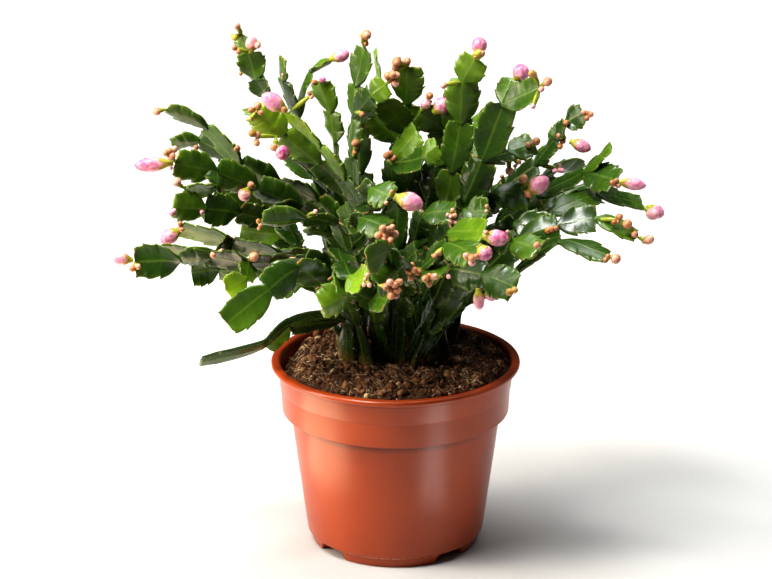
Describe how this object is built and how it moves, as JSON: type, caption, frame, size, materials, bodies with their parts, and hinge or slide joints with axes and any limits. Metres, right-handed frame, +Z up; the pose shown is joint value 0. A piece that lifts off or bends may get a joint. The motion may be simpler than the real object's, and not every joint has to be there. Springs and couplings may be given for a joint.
{
  "type": "potted christmas cactus",
  "caption": "Bushy christmas cactus with arching chains of flat toothed segments and pink flower buds, rooted in soil in a round tapered nursery pot with a deep rim.",
  "frame": {"origin": "on the pot's axis, at the level of the surface that its feet stand on", "axes": "+Z up along the pot's axis, +X to the plant's right as seen from its show side, the show side faces -Y"},
  "size_m": [0.2823, 0.2142, 0.273],
  "materials": {
    "pot_plastic": "injection-moulded polypropylene, terracotta colour, satin",
    "soil": "damp dark peat with tan fibres",
    "shoot_skin": "waxy succulent skin, green, soft gloss",
    "bud": "smooth closed petals, pink, soft gloss"
  },
  "bodies": {
    "root": {"back_shoot_1": "shoot_skin", "back_shoot_2": "shoot_skin", "back_shoot_3": "shoot_skin", "back_shoot_4": "shoot_skin", "back_shoot_5": "shoot_skin", "back_shoot_6": "shoot_skin", "bud_crown": "bud", "bud_front": "bud", "bud_left_1": "bud", "bud_left_2": "bud", "bud_left_3": "bud", "bud_right_1": "bud", "bud_right_2": "bud", "bud_tall_left": "bud", "crown_shoot_1": "shoot_skin", "crown_shoot_3": "shoot_skin", "crown_shoot_4": "shoot_skin", "crown_shoot_6": "shoot_skin", "crown_shoot_7": "shoot_skin", "crown_shoot_9": "shoot_skin", "front_shoot_1": "shoot_skin", "front_shoot_10": "shoot_skin", "front_shoot_2": "shoot_skin", "front_shoot_3": "shoot_skin", "front_shoot_5": "shoot_skin", "front_shoot_7": "shoot_skin", "front_shoot_9": "shoot_skin", "left_shoot_1": "shoot_skin", "left_shoot_10": "shoot_skin", "left_shoot_11": "shoot_skin", "left_shoot_2": "shoot_skin", "left_shoot_3": "shoot_skin", "left_shoot_4": "shoot_skin", "left_shoot_5": "shoot_skin", "left_shoot_6": "shoot_skin", "left_shoot_7": "shoot_skin", "left_shoot_8": "shoot_skin", "pot": "pot_plastic", "right_shoot_1": "shoot_skin", "right_shoot_10": "shoot_skin", "right_shoot_11": "shoot_skin", "right_shoot_12": "shoot_skin", "right_shoot_14": "shoot_skin", "right_shoot_16": "shoot_skin", "right_shoot_2": "shoot_skin", "right_shoot_4": "shoot_skin", "right_shoot_5": "shoot_skin", "right_shoot_6": "shoot_skin", "right_shoot_7": "shoot_skin", "right_shoot_8": "shoot_skin", "right_shoot_9": "shoot_skin", "soil": "soil", "tall_left_shoot_1": "shoot_skin", "tall_left_shoot_2": "shoot_skin", "tall_left_shoot_3": "shoot_skin", "tall_left_shoot_4": "shoot_skin", "tall_left_shoot_5": "shoot_skin", "tall_left_shoot_6": "shoot_skin", "tall_left_shoot_7": "shoot_skin", "tall_left_shoot_8": "shoot_skin"}
  },
  "joints": []
}
